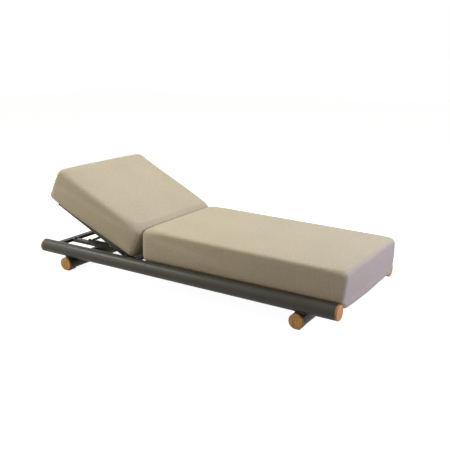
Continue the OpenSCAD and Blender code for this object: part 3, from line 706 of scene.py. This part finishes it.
def stuff(mesh, shape):
    """How far cloth pressure moves a cover's points; the base and the firm end stay."""
    start = coordinates(mesh)
    dummy = bpy.data.objects.new("cover", mesh.copy())
    scene.collection.objects.link(dummy)
    held = dummy.vertex_groups.new(name="held")
    along = shape["firm"] * start[:, 0]
    still = (start[:, 2] < shape["held"]) | (along > along.max() - FIRM_DEPTH)
    held.add([int(i) for i in np.nonzero(still)[0]], 1.0, "REPLACE")
    cloth = dummy.modifiers.new("cloth", "CLOTH")
    settings = cloth.settings
    settings.quality = 6
    settings.mass = 0.3
    settings.tension_stiffness = settings.compression_stiffness = 40
    settings.shear_stiffness = 20
    settings.bending_stiffness = 6.0
    settings.use_pressure = True
    settings.uniform_pressure_force = 4.0
    settings.vertex_group_mass = "held"
    settings.effector_weights.gravity = 0.0
    cloth.collision_settings.use_collision = False
    cloth.point_cache.frame_start, cloth.point_cache.frame_end = 1, CLOTH_STEPS
    for number in range(1, CLOTH_STEPS + 1):
        scene.frame_set(number)
    ready = dummy.evaluated_get(bpy.context.evaluated_depsgraph_get())
    moved = coordinates(ready.data) - start
    scene.frame_set(1)
    bpy.data.objects.remove(dummy)
    length = np.linalg.norm(moved, axis=1, keepdims=True)
    return moved * np.minimum(1.0, MOST_MOVED / np.maximum(length, LEAST_LENGTH))


def sewn_cushion(name, counts, size, shape, under):
    """A cushion's cover at the origin: formed, stuffed and smoothed."""
    block = Block(counts, size)
    form = block.formed(shape, under)
    mesh = block.sewn(name, form)
    form = form + stuff(mesh, shape)
    mesh.vertices.foreach_set("co", form.ravel())
    mesh.update()
    piece = bpy.data.objects.new(name, mesh)
    scene.collection.objects.link(piece)
    soften = piece.modifiers.new("smooth", "SUBSURF")
    soften.levels = soften.render_levels = 1
    made_plain(piece)
    return piece


def finish_cushion(piece, place, node, body):
    """Moves a cushion to its place and lets it stand for its CAD node."""
    mesh = piece.data
    points = place(coordinates(mesh))
    mesh.vertices.foreach_set("co", points.ravel())
    mesh.update()
    mesh.materials.clear()
    mesh.materials.append(sand_fabric)
    mesh.polygons.foreach_set("use_smooth", [True] * len(mesh.polygons))
    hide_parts(node)
    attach(piece, body)


def rolled_end(roll, z):
    """How far an end is drawn in at a height, by the radius of its lower edge."""
    return roll - np.sqrt(roll ** 2 - np.maximum(roll - z, 0) ** 2)


# A cushion's shape, in metres: the top edge's radius at places along it, the upright
# corners' radius, how far the sides swell, how far the free end bows out low and high, how
# far the two ends lean out at the top, how far the far foot corner is skewed out at the
# base, the top's crown and its fall to the foot end, the height that is held as it is
# stuffed, what is added to the top edge at the corners, and which end is firm: 1 is +X.
SEAT_SIZE, SEAT_COUNTS = (1.221, 0.696, 0.217), (90, 50, 18)
SEAT_MIDDLE, SEAT_BASE = 0.3975, 0.1264
SEAT_CLEAR, SEAT_ROLL = 0.042, 0.010
SEAT_SHAPE = {"edge": ((-0.6, 0.028), (-0.45, 0.022), (0.6, 0.022)), "corner": 0.022,
              "swell": 0.002, "bow": (0.015, 0.002), "lean": (0.0, 0.018), "skew": 0.013,
              "crown": 0.007, "fall": 0.019, "held": 0.036, "blunt": 0.012, "firm": -1}


def along_rail(turn, x):
    """The seat's lower edge round the rail: drawn in at the ends, at the sides, height."""
    turn, rise = np.broadcast_to(turn, x.shape), SEAT_BASE - RAIL_Z
    side = SEAT_SIZE[1] / 2 - RAIL_Y
    low, high = math.asin(rise / SEAT_CLEAR), math.acos(-side / SEAT_CLEAR)
    angle = high - (high - low) * turn / (math.pi / 2)
    z = SEAT_CLEAR * np.sin(angle) - rise
    return rolled_end(SEAT_ROLL, z), side + SEAT_CLEAR * np.cos(angle), z


seat = sewn_cushion("seat_cushion_cover", SEAT_COUNTS, SEAT_SIZE, SEAT_SHAPE, along_rail)
finish_cushion(seat, lambda p: p + np.array([SEAT_MIDDLE, 0.0, SEAT_BASE]),
               "seat_cushion", "base")

# Back cushion: the same foam and fabric, shorter, a little wider and rounder, tied to the
# backrest's slats. It slides up the backrest as the backrest comes up.
BACK_SIZE, BACK_COUNTS = (0.694, 0.748, 0.222), (56, 54, 20)
BACK_MIDDLE, BACK_BASE, BACK_ASIDE = 0.291, 0.0154, 0.004
BACK_TAPER, TAPER_MIDDLE = 0.05, 0.35
CURL, CURL_FROM, CURL_OVER, CURL_FADE = 0.016, 0.42, 0.22, 0.6
BACK_SIDE_ROLLS = ((-0.35, 0.028), (-0.1, 0.050), (0.2, 0.078))
BACK_END_ROLLS = ((-0.3, 0.006), (0.3, 0.030))
BACK_SHAPE = {"edge": ((-0.35, 0.034), (-0.28, 0.033), (-0.15, 0.030), (0.15, 0.032),
                       (0.33, 0.044)),
              "corner": 0.026, "swell": 0.002, "bow": (0.006, 0.002), "lean": (-0.008, 0.0),
              "skew": 0.0, "crown": 0.007, "fall": 0.0, "held": 0.030, "blunt": 0.008,
              "firm": 1}


def rounded_under(turn, x):
    """The back cushion's lower edge, as along_rail gives the seat's; rounder at the hinge."""
    radius = np.interp(x, *zip(*BACK_SIDE_ROLLS))
    z = radius * (1 - np.sin(turn))
    roll = np.interp(x, *zip(*BACK_END_ROLLS))
    return rolled_end(roll, z), radius * (1 - np.cos(turn)), z


def lean_back(p):
    """Lays the cushion on the backrest, wider at the head and curled up off the bars there."""
    s = BACK_MIDDLE - p[:, 0]
    curl = CURL * np.clip((s - CURL_FROM) / CURL_OVER, 0, 1) ** 2 * (1 - CURL_FADE * p[:, 2])
    y = p[:, 1] * (1 + BACK_TAPER * (s - TAPER_MIDDLE)) + BACK_ASIDE
    return np.stack(on_back(s, y, p[:, 2] + BACK_BASE + curl), 1)


back = sewn_cushion("back_cushion_cover", BACK_COUNTS, BACK_SIZE, BACK_SHAPE, rounded_under)
finish_cushion(back, lean_back, "back_cushion", "back_pad")
